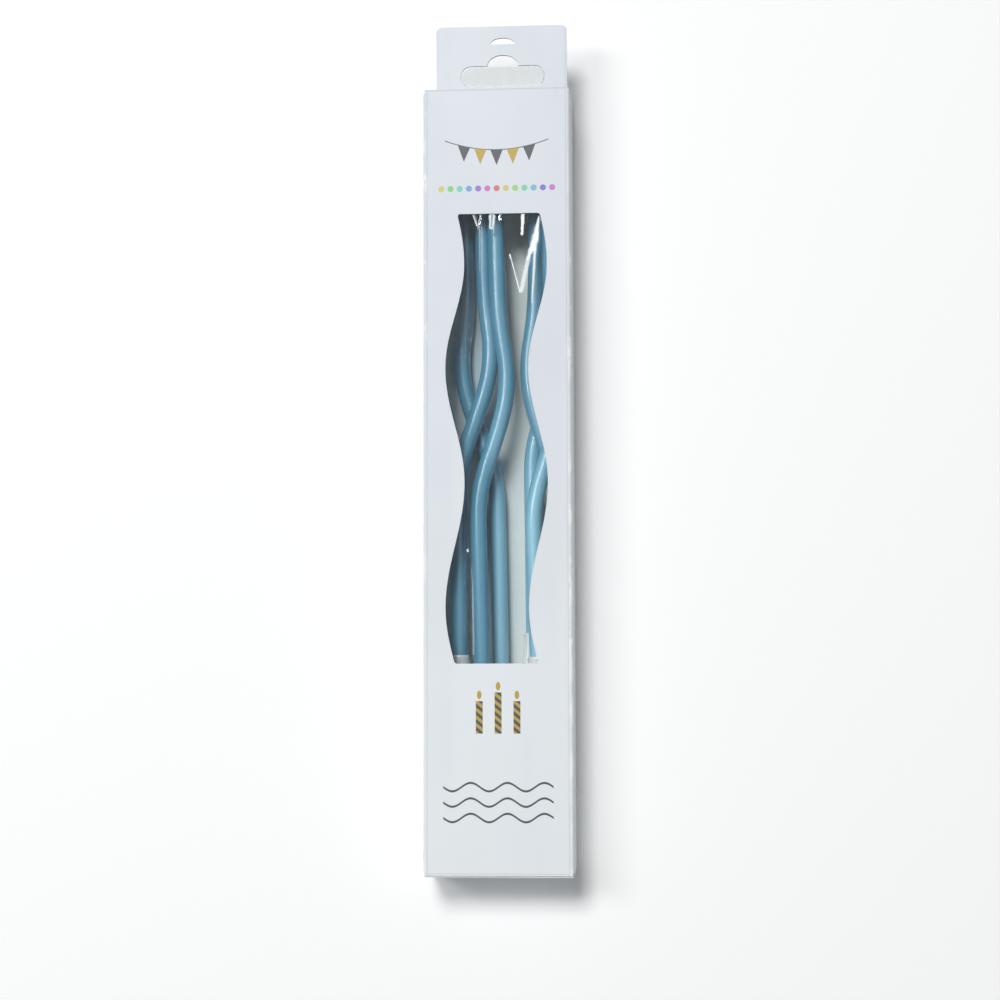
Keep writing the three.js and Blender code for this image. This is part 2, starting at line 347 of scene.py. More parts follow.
def effect(name, *results, **amounts):
    """Opens a new group that takes a place and amounts. Returns it, its inputs and results."""
    global sheet
    sheet = group = bpy.data.node_groups.new(name, "ShaderNodeTree")
    new_socket = group.interface.new_socket
    new_socket("Place", in_out="INPUT", socket_type="NodeSocketVector")
    for label, amount in amounts.items():
        socket = new_socket(label, in_out="INPUT", socket_type="NodeSocketFloat")
        socket.default_value = amount
    for label in results:
        kind = "NodeSocketColor" if label == "Colour" else "NodeSocketFloat"
        new_socket(label, in_out="OUTPUT", socket_type=kind)
    given = group.nodes.new("NodeGroupInput").outputs
    return group, given, group.nodes.new("NodeGroupOutput")


def use(group, **values):
    """Places a group in the open sheet, with its inputs by name."""
    node = new("Group")
    node.node_tree = group
    feed(node, **values)
    return node.outputs


def finish_of(name, **constants):
    """Opens a new material. Returns it, its Principled shader and the surface's own place."""
    global sheet
    material = bpy.data.materials.new(name)
    material.use_nodes = True
    sheet = material.node_tree
    shader = sheet.nodes["Principled BSDF"]
    feed(shader, **constants)
    return material, shader, new("TexCoord").outputs["Object"]


def relief(height, distance, shader, strength):
    """Bumps the shader's surface by a height."""
    bump = new("Bump", Strength=strength, Distance=distance, Height=height)
    feed(shader, Normal=bump.outputs["Normal"])


print("node helpers ready")

# %% [markdown]
# ## Light and floor
# A product like this is lit by one large soft lamp from above its top end and a pale room. The
# room's glow is the world, and the lamp gives the shadow below and at the right. A lamp at the
# left draws the thin highlights along the candles. The floor is a plain pale sheet that the carton
# lies on. It shows white to the camera and keeps the carton's shadow.

# %% World
scene.view_settings.view_transform = "Standard"
world = bpy.data.worlds.new("room")
scene.world = world
world.use_nodes = True
sheet = world.node_tree
sheet.nodes.clear()
GLOW, SEEN = ((0.86, 0.95, 1.0, 1), 0.11), ((1, 1, 1, 1), 1)


def seen_ray():
    """1 on the rays that show a surface: straight, by a reflection or through glass."""
    ray = new("LightPath").outputs
    return most(ray["Is Camera Ray"], ray["Is Glossy Ray"], ray["Is Transmission Ray"])


mix = new("MixShader", Fac=seen_ray())
for (colour, strength), socket in zip((GLOW, SEEN), mix.inputs[1:]):
    background = new("Background", Color=colour, Strength=strength)
    connect(background.outputs["Background"], socket)
new("OutputWorld", Surface=mix.outputs["Shader"])
print("world strength", GLOW[1])


# %% Lamps
def soft_lamp(name, spot, width, height, watts, colour):
    """A rectangular lamp that points at the middle of the carton."""
    light = bpy.data.lights.new(name, "AREA")
    light.shape = "RECTANGLE"
    light.size = width
    light.size_y = height
    light.energy = watts
    light.color = colour
    lamp = bpy.data.objects.new(name, light)
    lamp.location = spot
    lamp.rotation_euler = (-Vector(spot)).to_track_quat("-Z", "Y").to_euler()
    scene.collection.objects.link(lamp)


soft_lamp("key_lamp", (-0.51, 1.37, 3.06), 0.93, 0.93, 72, (1, 0.99, 0.98))
soft_lamp("side_lamp", (-0.55, 0.2, 0.95), 0.24, 0.45, 3.3, (0.97, 0.99, 1))
soft_lamp("fill_lamp", (0.5, -0.55, 1.0), 0.4, 0.4, 0.7, (0.93, 0.97, 1))
print("lamps:", [light.name for light in bpy.data.lights])

# %% [markdown]
# ## Shared effects
# Card, wax and plastic all show a little unevenness. "Mottle" is a slow drift of tone with a fine
# grain in it, and "scuffs" are the short thin scratches that handling leaves on a glossy face.
# "Fold wear" is the white that comes through where the card's long folds are rubbed, with the
# thin creasing lines that are pressed into the blank beside each fold. The card's finish paints
# those lines grey, as painted shade in their grooves.

# %% Mottle and scuffs
mottle, given, result = effect("mottle", "Drift", "Grain")
here = given["Place"]
drift = noise(here, 28, 3)
feed(result, Drift=drift, Grain=noise(here, 1900, 4, 0.6))

scuffs, given, result = effect("scuffs", "Scuff", Amount=0.3)
here = given["Place"]
along = noise(here, 260, 3, 0.6, (1, 0.09, 1))
across = noise(here, 220, 3, 0.6, (0.08, 1.3, 1))
lines = most(ease(along, 0.66, 0.74), ease(across, 0.68, 0.76))
patch = ease(noise(here, 35, 2), 0.45, 0.65)
feed(result, Scuff=mul(lines, patch, given["Amount"]))
print("effects:", [g.name for g in bpy.data.node_groups])

# %% Fold wear
fold_wear, given, result = effect("fold_wear", "Wear", "Score")
here = given["Place"]
x, y, z = axes(here)
half_across = calc("ABSOLUTE", x)
near_side = ease(half_across, 0.0192, 0.0204)
near_face = ease(apart(z, 0.01), 0.0086, 0.0096)
chips = ease(noise(here, 240, 4, 0.65, (1, 0.35, 1)), 0.5, 0.6)
stretches = ease(noise(here, 24, 2), 0.42, 0.62)
wear = mul(near_side, near_face, chips, stretches)


def score_line(value, at):
    """1 on a creasing line, 0 two tenths of a millimetre beside it."""
    return ease(apart(value, at), 0.00022, 0.00005)


long_score = score_line(half_across, 0.01955)
tab_score = score_line(y, BASE + 0.2196)
end_score = score_line(y, BASE + 0.0009)
feed(result, Wear=wear, Score=most(long_score, tab_score, end_score))
print("fold wear:", len(fold_wear.nodes), "nodes")

# %% [markdown]
# ## The print on the front
# The front is printed with small party ornaments: a string of pennants over a row of coloured dots
# at the top, and striped candles over a few wavy lines at the bottom. Print has no thickness, so
# it is painted by arithmetic on the place: each motif is a mask that is 1 inside its outline.
# Masks are multiplied to keep what is in both, and the larger one is taken to join them.

# %% Print: its arithmetic
DARK_INK = (0.065, 0.072, 0.085, 1)
GOLD_INK = (0.50, 0.34, 0.06, 1)
ornament, given, result = effect("front_print", "Colour", "Ink")
x, y, z = axes(given["Place"])
px = calc("DIVIDE", x, MM)
ph = calc("DIVIDE", sub(y, BASE), MM)


def inside(distance):
    """1 where a distance to an outline is below zero."""
    return ease(distance, 0.05, -0.05)


def within(value, middle, half):
    """1 where a value is no further than half from the middle."""
    return inside(sub(apart(value, middle), half))


def repeat(pitch):
    """The place across from the nearest of evenly spaced motifs, and that motif's number."""
    number = calc("ROUND", calc("DIVIDE", px, pitch))
    return sub(px, mul(number, pitch)), number


def past_oval(across, up, half_width, half_height):
    """Below zero inside an upright oval, by a share of its half width."""
    across = calc("DIVIDE", across, half_width)
    up = calc("DIVIDE", up, half_height)
    return sub(calc("SQRT", add(mul(up, up), mul(across, across))), 1)


print("the print measures in millimetres, up from the base")

# %% Print: the dots and the pennants
DOT_PITCH, DOT_HEIGHT, DOT_RADIUS, DOTS_REACH = 2.6, 191.4, 0.85, 17
STRING_HEIGHT, STRING_CURVE, STRING_HALF, STRING_REACH = 202.4, 0.013, 0.14, 14.6
PENNANT_PITCH, PENNANT_DROP, PENNANT_TAPER, PENNANT_REACH = 4.6, 4.4, 0.4, 11.5
HUE_STEP, SATURATION, BRIGHTNESS = 0.137, 0.72, 0.62

spot, number = repeat(DOT_PITCH)
dot = mul(past_oval(spot, sub(ph, DOT_HEIGHT), DOT_RADIUS, DOT_RADIUS), DOT_RADIUS)
dots = mul(inside(dot), within(px, 0, DOTS_REACH))
hue = new("CombineColor")
hue.mode = "HSV"
step = calc("FRACT", mul(number, HUE_STEP))
for value, socket in zip((step, SATURATION, BRIGHTNESS), hue.inputs):
    connect(value, socket)

sag = add(mul(px, px, STRING_CURVE), STRING_HEIGHT)
string = mul(within(ph, sag, STRING_HALF), within(px, 0, STRING_REACH))
spot, number = repeat(PENNANT_PITCH)
hang = sub(sag, ph)
half_width = mul(sub(PENNANT_DROP, hang), PENNANT_TAPER)
slope = inside(sub(calc("ABSOLUTE", spot), half_width))
pennants = mul(slope, inside(mul(hang, -1)), within(px, 0, PENNANT_REACH))
every_other = calc("PINGPONG", number, 1)
print("dots and pennants:", len(ornament.nodes), "nodes")

# %% Print: the candles and the waves
STICK_PITCH, STICK_HALF, STICKS_REACH = 5.2, 0.95, 7.7
STICK_BASE, STICK_TOP, STICK_STEP = 39.2, 50.5, 2.4
STRIPE_SLANT, STRIPE_PITCH = 0.8, 2.1
FLAME_GAP, FLAME_HALF_WIDTH, FLAME_HALF_HEIGHT = 1.7, 0.62, 1.15
WAVES_MIDDLE, WAVE_GAP, WAVE_PACE, WAVE_HEIGHT = 20.4, 4.2, 0.62, 1.15
WAVE_HALF, WAVES_HALF, WAVES_REACH = 0.3, 8.0, 15.2

spot, number = repeat(STICK_PITCH)
top = sub(STICK_TOP, mul(calc("ABSOLUTE", number), STICK_STEP))
row = within(px, 0, STICKS_REACH)
upright = mul(inside(sub(ph, top)), inside(sub(STICK_BASE, ph)))
stick = mul(within(spot, 0, STICK_HALF), upright, row)
twist = calc("DIVIDE", add(ph, mul(spot, STRIPE_SLANT)), STRIPE_PITCH)
stripe = ease(apart(calc("FRACT", twist), 0.5), 0.27, 0.23)
above = sub(ph, add(top, FLAME_GAP))
flame = mul(inside(past_oval(spot, above, FLAME_HALF_WIDTH, FLAME_HALF_HEIGHT)), row)

wave = mul(calc("SINE", mul(px, WAVE_PACE)), WAVE_HEIGHT)
level = sub(ph, wave, WAVES_MIDDLE)
line = calc("ROUND", calc("DIVIDE", level, WAVE_GAP))
off_line = sub(level, mul(line, WAVE_GAP))
waves = mul(within(off_line, 0, WAVE_HALF), within(level, 0, WAVES_HALF))
waves = mul(waves, within(px, 0, WAVES_REACH))
print("candles and waves:", len(ornament.nodes), "nodes")

# %% Print: the inks
dark = most(string, waves, stick, mul(pennants, sub(1, every_other)))
gold = most(flame, mul(stick, stripe), mul(pennants, every_other))
ink = blend(gold, DARK_INK, GOLD_INK)
ink = blend(dots, ink, hue.outputs[0])
print_side = ease(z, 0.0193, 0.0197)
feed(result, Colour=ink, Ink=mul(most(dark, gold, dots), print_side))
print("print:", len(ornament.nodes), "nodes")

# %% [markdown]
# ## Card
# The blank is bleached board with a clear film laminated to its outside. The outside is cool white
# and glossy, with a faint ripple that bends reflections and a few scuffs, and painted shade that
# darkens it towards the top end. The inside is bare board: matt, greyer and a little green, with
# fibres, and painted blue shade on the back behind the candle bundle.
# The cut edge shows the bare pulp in bright white.

# %% Card finishes
CARD_WHITE = (0.84, 0.88, 0.895, 1)
CARD_MOTTLE_AND_SHADE = (0.63, 0.67, 0.73, 1)
SCORE_SHADE = (0.58, 0.62, 0.65, 1)
WORN_WHITE = (0.98, 0.99, 0.99, 1)
BUNDLE_SHADE_BLUE = (0.33, 0.55, 0.66, 1)


def laminated(name, printed):
    """Glossy outer face of the card, with painted shade towards the top, and the print if asked."""
    material, shader, where = finish_of(name, Coat_Roughness=0.25, Specular_IOR_Level=0.35)
    uneven = use(mottle, Place=where)
    scuff = use(scuffs, Place=where, Amount=0.5)["Scuff"]
    rubbed = use(fold_wear, Place=where)
    bands = ease(noise(where, 60, 2, 0.5, (1, 0.12, 1)), 0.4, 0.62)
    # Painted shade: the outer face darkens towards the top end, evening out the lamp's brighter
    # light there. The same dark colour also takes the random mottle and bands.
    painted_top_shade = mul(ease(axes(where)[1], -0.12, 0.14), 0.7)
    tone = add(mul(uneven["Drift"], 0.26), mul(bands, 0.16), painted_top_shade)
    base = blend(tone, CARD_WHITE, CARD_MOTTLE_AND_SHADE)
    if printed:
        art = use(ornament, Place=where)
        base = blend(art["Ink"], base, art["Colour"])
    # Painted shade: grey along the creasing lines, where their grooves fall in shade.
    base = blend(mul(rubbed["Score"], 0.35), base, SCORE_SHADE)
    base = blend(rubbed["Wear"], base, WORN_WHITE)
    rough = add(mul(uneven["Drift"], 0.16), 0.42, mul(scuff, 0.35))
    gloss = calc("SUBTRACT", 0.08, scuff, clamp=True)
    feed(shader, Base_Color=base, Roughness=rough, Coat_Weight=gloss)
    ripple = noise(where, 38, 1, 0.4)
    height = add(ripple, mul(uneven["Grain"], 0.018))
    height = sub(height, mul(rubbed["Score"], 0.25))
    relief(height, 0.0006, shader, 0.5)
    return material


def bare(name, light, dark, bundle_shade=False):
    """Uncoated inner face of the card with its fibres, with painted shade behind the bundle if
    asked.
    """
    material, shader, where = finish_of(name)
    fibre = noise(where, 900, 5, 0.7, (1, 0.35, 1))
    drift = use(mottle, Place=where)["Drift"]
    tone = add(mul(fibre, 0.5), mul(drift, 0.4))
    face = blend(tone, light, dark)
    if bundle_shade:
        # Painted shade: a blue-grey darkening on the back behind the candle bundle, where the gaps
        # between the waxes fall in shade.
        x, y, _ = axes(where)
        right, left = ease(x, 0.0005, -0.004), ease(x, -0.013, -0.009, 0.4, 1)
        reach = ease(calc("ABSOLUTE", y), 0.085, 0.06)
        face = blend(mul(right, left, reach, 0.6), face, BUNDLE_SHADE_BLUE)
    feed(shader, Base_Color=face, Roughness=ease(fibre, 0.3, 0.7, 0.65, 0.85))
    relief(fibre, 0.00012, shader, 0.5)
    return material


printed_card = laminated("printed_card", printed=True)
white_card = laminated("white_card", printed=False)
bare_card = bare("bare_card", (0.76, 0.84, 0.82, 1), (0.62, 0.70, 0.69, 1), bundle_shade=True)
bare_tab = bare("bare_tab", (0.78, 0.81, 0.82, 1), (0.66, 0.69, 0.70, 1))

cut_edge, shader, where = finish_of("cut_edge", Roughness=0.85)
pulp = noise(where, 2600, 4, 0.7, (0.2, 0.2, 1))
pale = blend(pulp, (0.93, 0.94, 0.94, 1), (0.78, 0.79, 0.78, 1))
feed(shader, Base_Color=pale)
relief(pulp, 0.00006, shader, 0.6)
CARD_FINISHES = [white_card, bare_card, cut_edge]
PRINTED_FINISHES = [printed_card, bare_card, cut_edge]
TAB_FINISHES = [bare_tab, white_card, cut_edge]


def dress(obj, materials):
    """Gives an object its finishes in order: face, back, rim."""
    obj.data.materials.clear()
    for material in materials:
        obj.data.materials.append(material)


print("card finishes:", [m.name for m in PRINTED_FINISHES])

# %% [markdown]
# ## The sleeve
# The front, both sides and the back of the carton are one strip of card folded into a tube. A cube
# with its ends removed and its long edges bevelled is that tube already, with round folds. The
# sides stop a little short at both ends, to leave room for the flaps that hang on them, and the
# hang tab grows out of the front's top edge. Thickness goes on inwards, before the holes are cut.

# %% Sleeve blank
CARD = 0.45
LENGTH, WIDTH, DEPTH = 220, 41.5, 20
BOTTOM = BASE / MM
TOP = BOTTOM + LENGTH
FOLD = 0.8
FLAT = WIDTH / 2 - FOLD
low, high = (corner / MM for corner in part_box("hang_tab_back_ply"))
TAB_LEFT, TAB_RIGHT, TAB_TOP = low.x, high.x, high.y

cube, spot = bpy.ops.mesh.primitive_cube_add, (0, (BOTTOM + TOP) / 2, DEPTH / 2)
sleeve = primitive("carton_sleeve", cube, (WIDTH, LENGTH, DEPTH), spot, size=1)
pick(sleeve, "FACE", lambda middle, normal: abs(normal.y) > 0.9)
bpy.ops.mesh.delete(type="ONLY_FACE")
done()
pick(sleeve, "EDGE", lambda middle, way: abs(way.y) > 0.9)
bpy.ops.mesh.bevel(offset=FOLD * MM, segments=6)
done()
print("tube:", len(sleeve.data.polygons), "faces")

# %% Shorten the sides and grow the tab
END_GAP = 1.2
TAB_CORNER = 1.7
NEAR = 1e-5


def shift_ends(test, end, distance):
    """Moves the tube's end corners that pass the test along its length."""
    pick(sleeve, "VERT", lambda co: abs(co.y - end * MM) < NEAR and test(co))
    bpy.ops.transform.translate(value=(0, distance * MM, 0))
    done()


def on_side(co):
    """True for the corners of the side panels, with the outer half of the folds."""
    return abs(co.x) > (FLAT + FOLD * 0.55) * MM


shift_ends(on_side, TOP, -END_GAP)
shift_ends(on_side, BOTTOM, END_GAP)
shift_ends(lambda co: co.z > (DEPTH - FOLD) * MM and not on_side(co), BOTTOM, CARD)
shift_ends(lambda co: co.z < FOLD * MM and not on_side(co), TOP, -CARD)


def tab_root(middle, way):
    """True for the stretch of the front's top edge that the tab grows from."""
    return (
        abs(way.x) > 0.9
        and abs(middle.y - TOP * MM) < NEAR
        and middle.z > (DEPTH - 0.1) * MM
        and TAB_LEFT * MM < middle.x < TAB_RIGHT * MM
    )


for edge_x in (TAB_LEFT, TAB_RIGHT):
    slit(sleeve, (edge_x, 0, 0), (1, 0, 0), lambda middle, normal: normal.z > 0.99)
pick(sleeve, "EDGE", tab_root)
bpy.ops.mesh.extrude_region_move(TRANSFORM_OT_translate={"value": (0, TAB_TOP * MM - TOP * MM, 0)})
done()
round_corners(sleeve, lambda co: co.y > (TAB_TOP - 0.1) * MM, TAB_CORNER, 6)
print("tab from", round(TAB_LEFT, 2), "to", round(TAB_RIGHT, 2), "mm across")

# %% [markdown]
# ## The window and the holes
# The window's long edges follow a slow wave. The cutter is a grid whose rows are moved sideways by
# the wave, then closed into a block and subtracted from the sleeve. The hook slot is a plate with
# rounded corners, and halves of squashed cylinders make the dome and the crescent over it.

# %% Window
WINDOW_WIDTH, WINDOW_HEIGHT, WINDOW_BASE, WINDOW_SHIFT = 23.15, 125.8, 58.4, -0.25
WINDOW_CORNER, WAVE_SWING = 0.7, 2.67
CUTTER_DEPTH = 3
# Shares of the height at which the wave turns back, from the top down
WAVE_TURNS = [1.161, 0.888, 0.653, 0.399, 0.122, -0.13]


def wave_at(share):
    """How far the window's middle stands off at a share of its height."""
    i = max(k for k, turn in enumerate(WAVE_TURNS) if turn >= share)
    part = (WAVE_TURNS[i] - share) / (WAVE_TURNS[i] - WAVE_TURNS[i + 1])
    return WINDOW_SHIFT + (-1) ** (i + 1) * WAVE_SWING * math.cos(math.pi * part)


dress(sleeve, PRINTED_FINISHES)
thicken(sleeve, CARD)
grid, spot = bpy.ops.mesh.primitive_grid_add, (0, BOTTOM + WINDOW_BASE + WINDOW_HEIGHT / 2, DEPTH)
sizes, rows = (WINDOW_WIDTH, WINDOW_HEIGHT, 1), {"x_subdivisions": 1, "y_subdivisions": 72}
cutter = primitive("window_cutter", grid, sizes, spot, size=1, **rows)
for corner in cutter.data.vertices:
    share = (corner.co.y / MM - BOTTOM - WINDOW_BASE) / WINDOW_HEIGHT
    corner.co.x += wave_at(min(max(share, 0), 1)) * MM
ends = (BOTTOM + WINDOW_BASE, BOTTOM + WINDOW_BASE + WINDOW_HEIGHT)
round_corners(cutter, lambda co: min(abs(co.y / MM - end) for end in ends) < 0.01, WINDOW_CORNER, 4)
cutter.data.materials.append(cut_edge)
thicken(cutter, CUTTER_DEPTH, 0)
punch(sleeve, cutter)
print("window cut,", len(sleeve.data.polygons), "faces in the sleeve")


# %% Hook slot
SLOT_MIDDLE = (TAB_LEFT + TAB_RIGHT) / 2 + 0.3
SLOT_LEFT, SLOT_RIGHT = SLOT_MIDDLE - 11.85, SLOT_MIDDLE + 11.85
SLOT_LOW, SLOT_HIGH, SLOT_CORNER = TOP + 0.4, TOP + 6.4, 2.99
# Half width, height and flat base of the dome over the slot and of the crescent above it
OVALS = {"dome": (4.35, 3.1, TOP + 6.39), "crescent": (3.5, 1.8, TOP + 12.6)}


def slot_cutters():
    """The long slot, its dome and the crescent over them, as closed blocks."""
    slot = blank("slot_cutter", SLOT_LEFT, SLOT_RIGHT, SLOT_LOW, SLOT_HIGH, DEPTH)
    round_corners(slot, lambda co: True, SLOT_CORNER, 10)
    slot.data.materials.append(cut_edge)
    thicken(slot, CUTTER_DEPTH, 0)
    ovals = []
    for name, (half, high, base) in OVALS.items():
        disc, sizes = bpy.ops.mesh.primitive_cylinder_add, (half, high, CUTTER_DEPTH)
        spot = (SLOT_MIDDLE, base, DEPTH)
        oval = primitive(name + "_cutter", disc, sizes, spot, vertices=48, radius=1, depth=1)
        slit(oval, (0, base, 0), (0, 1, 0), clear_inner=True, use_fill=True)
        oval.data.materials.append(cut_edge)
        ovals.append(oval)
    return [slot, *ovals]


for cutter in slot_cutters():
    punch(sleeve, cutter)
soften(sleeve)
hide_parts("front_panel", "left_side_panel", "right_side_panel", "back_panel")
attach(sleeve, "carton")
print("sleeve:", len(sleeve.data.polygons), "faces")

# %% [markdown]
# ## The tab's back ply and the hook slot's flap
# The tab is folded over at its top edge and glued behind, so its back face is laminated too and
# the face that shows through the slot is bare board. Its two top corners are rounded, and its edges
# softened like the rest of the card. The slot's own piece is left in this ply, held along its lower
# edge only.

# %% Tab back ply
back_ply = blank("tab_back_ply", TAB_LEFT, TAB_RIGHT, TOP, TAB_TOP, DEPTH - CARD)
round_corners(back_ply, lambda co: co.y > (TAB_TOP - 0.1) * MM, TAB_CORNER, 6)
dress(back_ply, TAB_FINISHES)
thicken(back_ply, CARD)
for cutter in slot_cutters():
    punch(back_ply, cutter)
soften(back_ply)
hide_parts("hang_tab_back_ply")
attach(back_ply, "carton")
print("back ply:", len(back_ply.data.polygons), "faces")

# %% Slot flap
FLAP_CUTS = (0.12, 0.3, 0.5, 0.7, 0.88)
low, high = (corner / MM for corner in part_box("slot_flap"))
slot_piece = blank("hook_slot_flap", low.x, high.x, low.y, high.y, high.z)
round_corners(slot_piece, lambda co: True, (high.y - low.y) / 2 - 0.01, 10)
for share in FLAP_CUTS:
    slit(slot_piece, (low.x + share * (high.x - low.x), 0, 0), (1, 0, 0))
dress(slot_piece, TAB_FINISHES)
thicken(slot_piece, CARD)
soften(slot_piece)
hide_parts("slot_flap")
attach(slot_piece, "slot_flap")
print("slot flap:", [round(s, 2) for s in (high - low)], "mm")

# %% [markdown]
# ## Lids, tongues and dust flaps
# Each lid, tongue and flap is a piece of the same card, so each is a blank that is cut to shape
# and laid where its solid is. The outlines are simple: the blank's corners are snipped off. The
# tongue leans in, so it is cut lying flat and then turned about its crease.


# %% Lids
def finished(obj, node):
    """Softens a piece, lets it stand for its solid and ride on the body of the same name."""
    soften(obj)
    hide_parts(node)
    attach(obj, node)
    return obj


def turn(obj, centre, axis, degrees):
    """Turns a mesh about a line through a point in millimetres."""
    spot = Matrix.Translation(Vector(centre) * MM)
    obj.data.transform(spot @ Matrix.Rotation(math.radians(degrees), 4, axis) @ spot.inverted())
    obj.data.update()


def standing(node, end):
    """A blank across the carton's end, whose outer face looks out. Also its face and its box."""
    low, high = (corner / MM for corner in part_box(node))
    out = 1 if end == "top" else -1
    face = high.y if out > 0 else low.y
    middle_z = (low.z + high.z) / 2
    half = (high.z - low.z) / 2
    obj = blank(node + "_card", low.x, high.x, face - half, face + half, middle_z)
    turn(obj, (0, face, middle_z), "X", -90 * out)
    return obj, face, low, high


def lid(end):
    """A lid is a plain blank."""
    obj = standing(end + "_lid", end)[0]
    dress(obj, CARD_FINISHES)
    thicken(obj, CARD)
    return finished(obj, end + "_lid")


lids = [lid("top"), lid("bottom")]
print("lids:", [o.name for o in lids])


# %% Tongues
TONGUE_LEAN, TONGUE_LENGTH, TONGUE_TAPER, TONGUE_CORNER = 20, 7, 3, 1.5


def tongue(end):
    """A tongue is cut flat, then turned in about the corner where it meets its lid."""
    low, high = (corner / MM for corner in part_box(end + "_tongue"))
    top_end = end == "top"
    lean = math.radians(TONGUE_LEAN)
    out = 1 if top_end else -1
    root_y = (high.y if top_end else low.y) - out * CARD * math.sin(lean)
    face_z = high.z if top_end else low.z
    y0, y1 = sorted((root_y, root_y - out * TONGUE_LENGTH))
    obj = blank(end + "_tongue_card", low.x, high.x, y0, y1, face_z)
    if not top_end:
        turn(obj, (0, root_y, face_z), "Y", 180)
    for side in (-1, 1):
        edge = low.x if side < 0 else high.x
        snip(obj, (edge, root_y, face_z), (side * TONGUE_LENGTH, -out * TONGUE_TAPER, 0))
    tip = root_y - out * TONGUE_LENGTH
    round_corners(obj, lambda co: abs(co.y / MM - tip) < 0.05, TONGUE_CORNER, 5)
    dress(obj, CARD_FINISHES)
    thicken(obj, CARD)
    turn(obj, (0, root_y, face_z), "X", TONGUE_LEAN)
    return finished(obj, end + "_tongue")


tongues = [tongue("top"), tongue("bottom")]
print("tongues:", [o.name for o in tongues])


# %% Dust flaps
FLAP_CUT, FLAP_TIP = 2.5, 4


def dust_flap(end, side_name):
    """A flap with its front corner cut off and a long slanting edge that clears the lid."""
    node = end + "_dust_flap_" + side_name
    obj, face, low, high = standing(node, end)
    side = 1 if side_name == "right" else -1
    tip, root = (low.x, high.x) if side > 0 else (high.x, low.x)
    up = 1 if end == "top" else -1
    front, back = (high.z, low.z) if up > 0 else (low.z, high.z)
    snip(obj, (tip, face, front - up * FLAP_CUT), (-side, 0, up))
    run = Vector((root - tip, 0, back - (front - up * (FLAP_CUT + FLAP_TIP))))
    away = run.cross(Vector((0, 1, 0)))
    if away.z * up > 0:
        away.negate()
    snip(obj, (root, face, back), away)
    dress(obj, CARD_FINISHES)
    thicken(obj, CARD)
    return finished(obj, node)


flaps = [dust_flap(end, side) for end in ("top", "bottom") for side in ("left", "right")]
dress(frame["nodes"]["glue_flap"], [bare_card])
print("flaps:", [o.name for o in flaps])

# %% [markdown]
# ## Candles
# Each candle is a straight stick of wax that was bent while warm: two straight stretches with a
# smooth swing between them. A curve with a round bevel follows the same line as the solid, and its
# points can each have their own radius, which gives the cone at the top. Made a mesh, it is the
# wax. The wick is three thin strands that twist round each other.

# %% Candle line
WAX_RADIUS, WAX_LENGTH, SEAT, TIP = 2.35, 138, 8, 3
SWING, SWING_RUN, BEND_HEIGHT = 7.3, 40, 63.2
BULGE, BULGE_RUN, BULGE_RISE = 1.9, 12, 23
HOLDER_LENGTH, CUP_RADIUS, GAP = 36, 3.8, 0.3
WALL = WIDTH / 2 - CARD
WICK_RISE = 7
PLAY = LENGTH - HOLDER_LENGTH - WAX_LENGTH - WICK_RISE
FLOOR = CARD + CUP_RADIUS + GAP
LAYER = 2 * WAX_RADIUS + GAP
NEST = 3.45
# Number: start line, offset in wax radii, share of the end play, height, lean, side, drop
CANDLES = {
    "1": (0, -3.23, 0.551, FLOOR, 1.1, -1, -0.02),
    "2": (0, -1.83, 0.638, FLOOR + LAYER, 0.15, 1, 0),
    "3": (0, 1.06, 0.444, FLOOR + LAYER + NEST, 1.46, 1, 0),
    "4": (WALL, -1.62, 0.797, FLOOR, 0.55, 1, 0),
    "5": (WALL, -4.94, 0.359, FLOOR + LAYER, -0.85, -1, -0.14),
    "6": (WALL, -0.94, 0.628, FLOOR + 2 * LAYER, 1.8, 1, 0.25),
}


def swing_at(height, side, drop):
    """Sideways place of a candle's middle at a height over its holder's rim, in millimetres."""
    bend = BEND_HEIGHT - drop * SWING_RUN
    s = min(max((height - bend) / SWING_RUN + 0.5, 0), 1)
    turn_in = s * s * s * (s * (6 * s - 15) + 10)
    hump = math.exp(-(((height - bend - BULGE_RISE) / BULGE_RUN) ** 2))
    return side * (SWING * (turn_in - 1) + BULGE * hump)


def seat(obj, number):
    """Moves a piece from the candle's own line to its place in the carton."""
    start, off, low, height, lean, _, _ = CANDLES[number]
    spot = Vector((start + off * WAX_RADIUS, BOTTOM + HOLDER_LENGTH + low * PLAY, height)) * MM
    obj.data.transform(Matrix.Translation(spot) @ Matrix.Rotation(math.radians(lean), 4, "Z"))
    obj.data.update()


print("candle line swings", SWING, "mm over", SWING_RUN, "mm")


# %% Wax and wick
ROWS, TIP_ROWS, TIP_TAPER = 90, 6, 0.53
STRANDS, STRAND_ROWS, STRAND_RADIUS, TWISTS = 3, 28, 0.22, 2.2


def strand(name, points, radii, thickness, sides):
    """A round rod along points in millimetres, each with its own share of the thickness."""
    data = bpy.data.curves.new(name, "CURVE")
    data.dimensions = "3D"
    data.bevel_depth = thickness * MM
    data.bevel_resolution = sides
    data.use_fill_caps = True
    line = data.splines.new("POLY")
    line.points.add(len(points) - 1)
    for point, spot, share in zip(line.points, points, radii):
        point.co = (*[c * MM for c in spot], 1)
        point.radius = share
    rod = bpy.data.objects.new(name, data)
    scene.collection.objects.link(rod)
    only(rod)
    bpy.ops.object.convert(target="MESH")
    rod = named(name)
    pick(rod, "VERT", lambda co: True)
    bpy.ops.mesh.remove_doubles(threshold=1e-6)
    bpy.ops.mesh.normals_make_consistent(inside=False)
    done()
    return rod


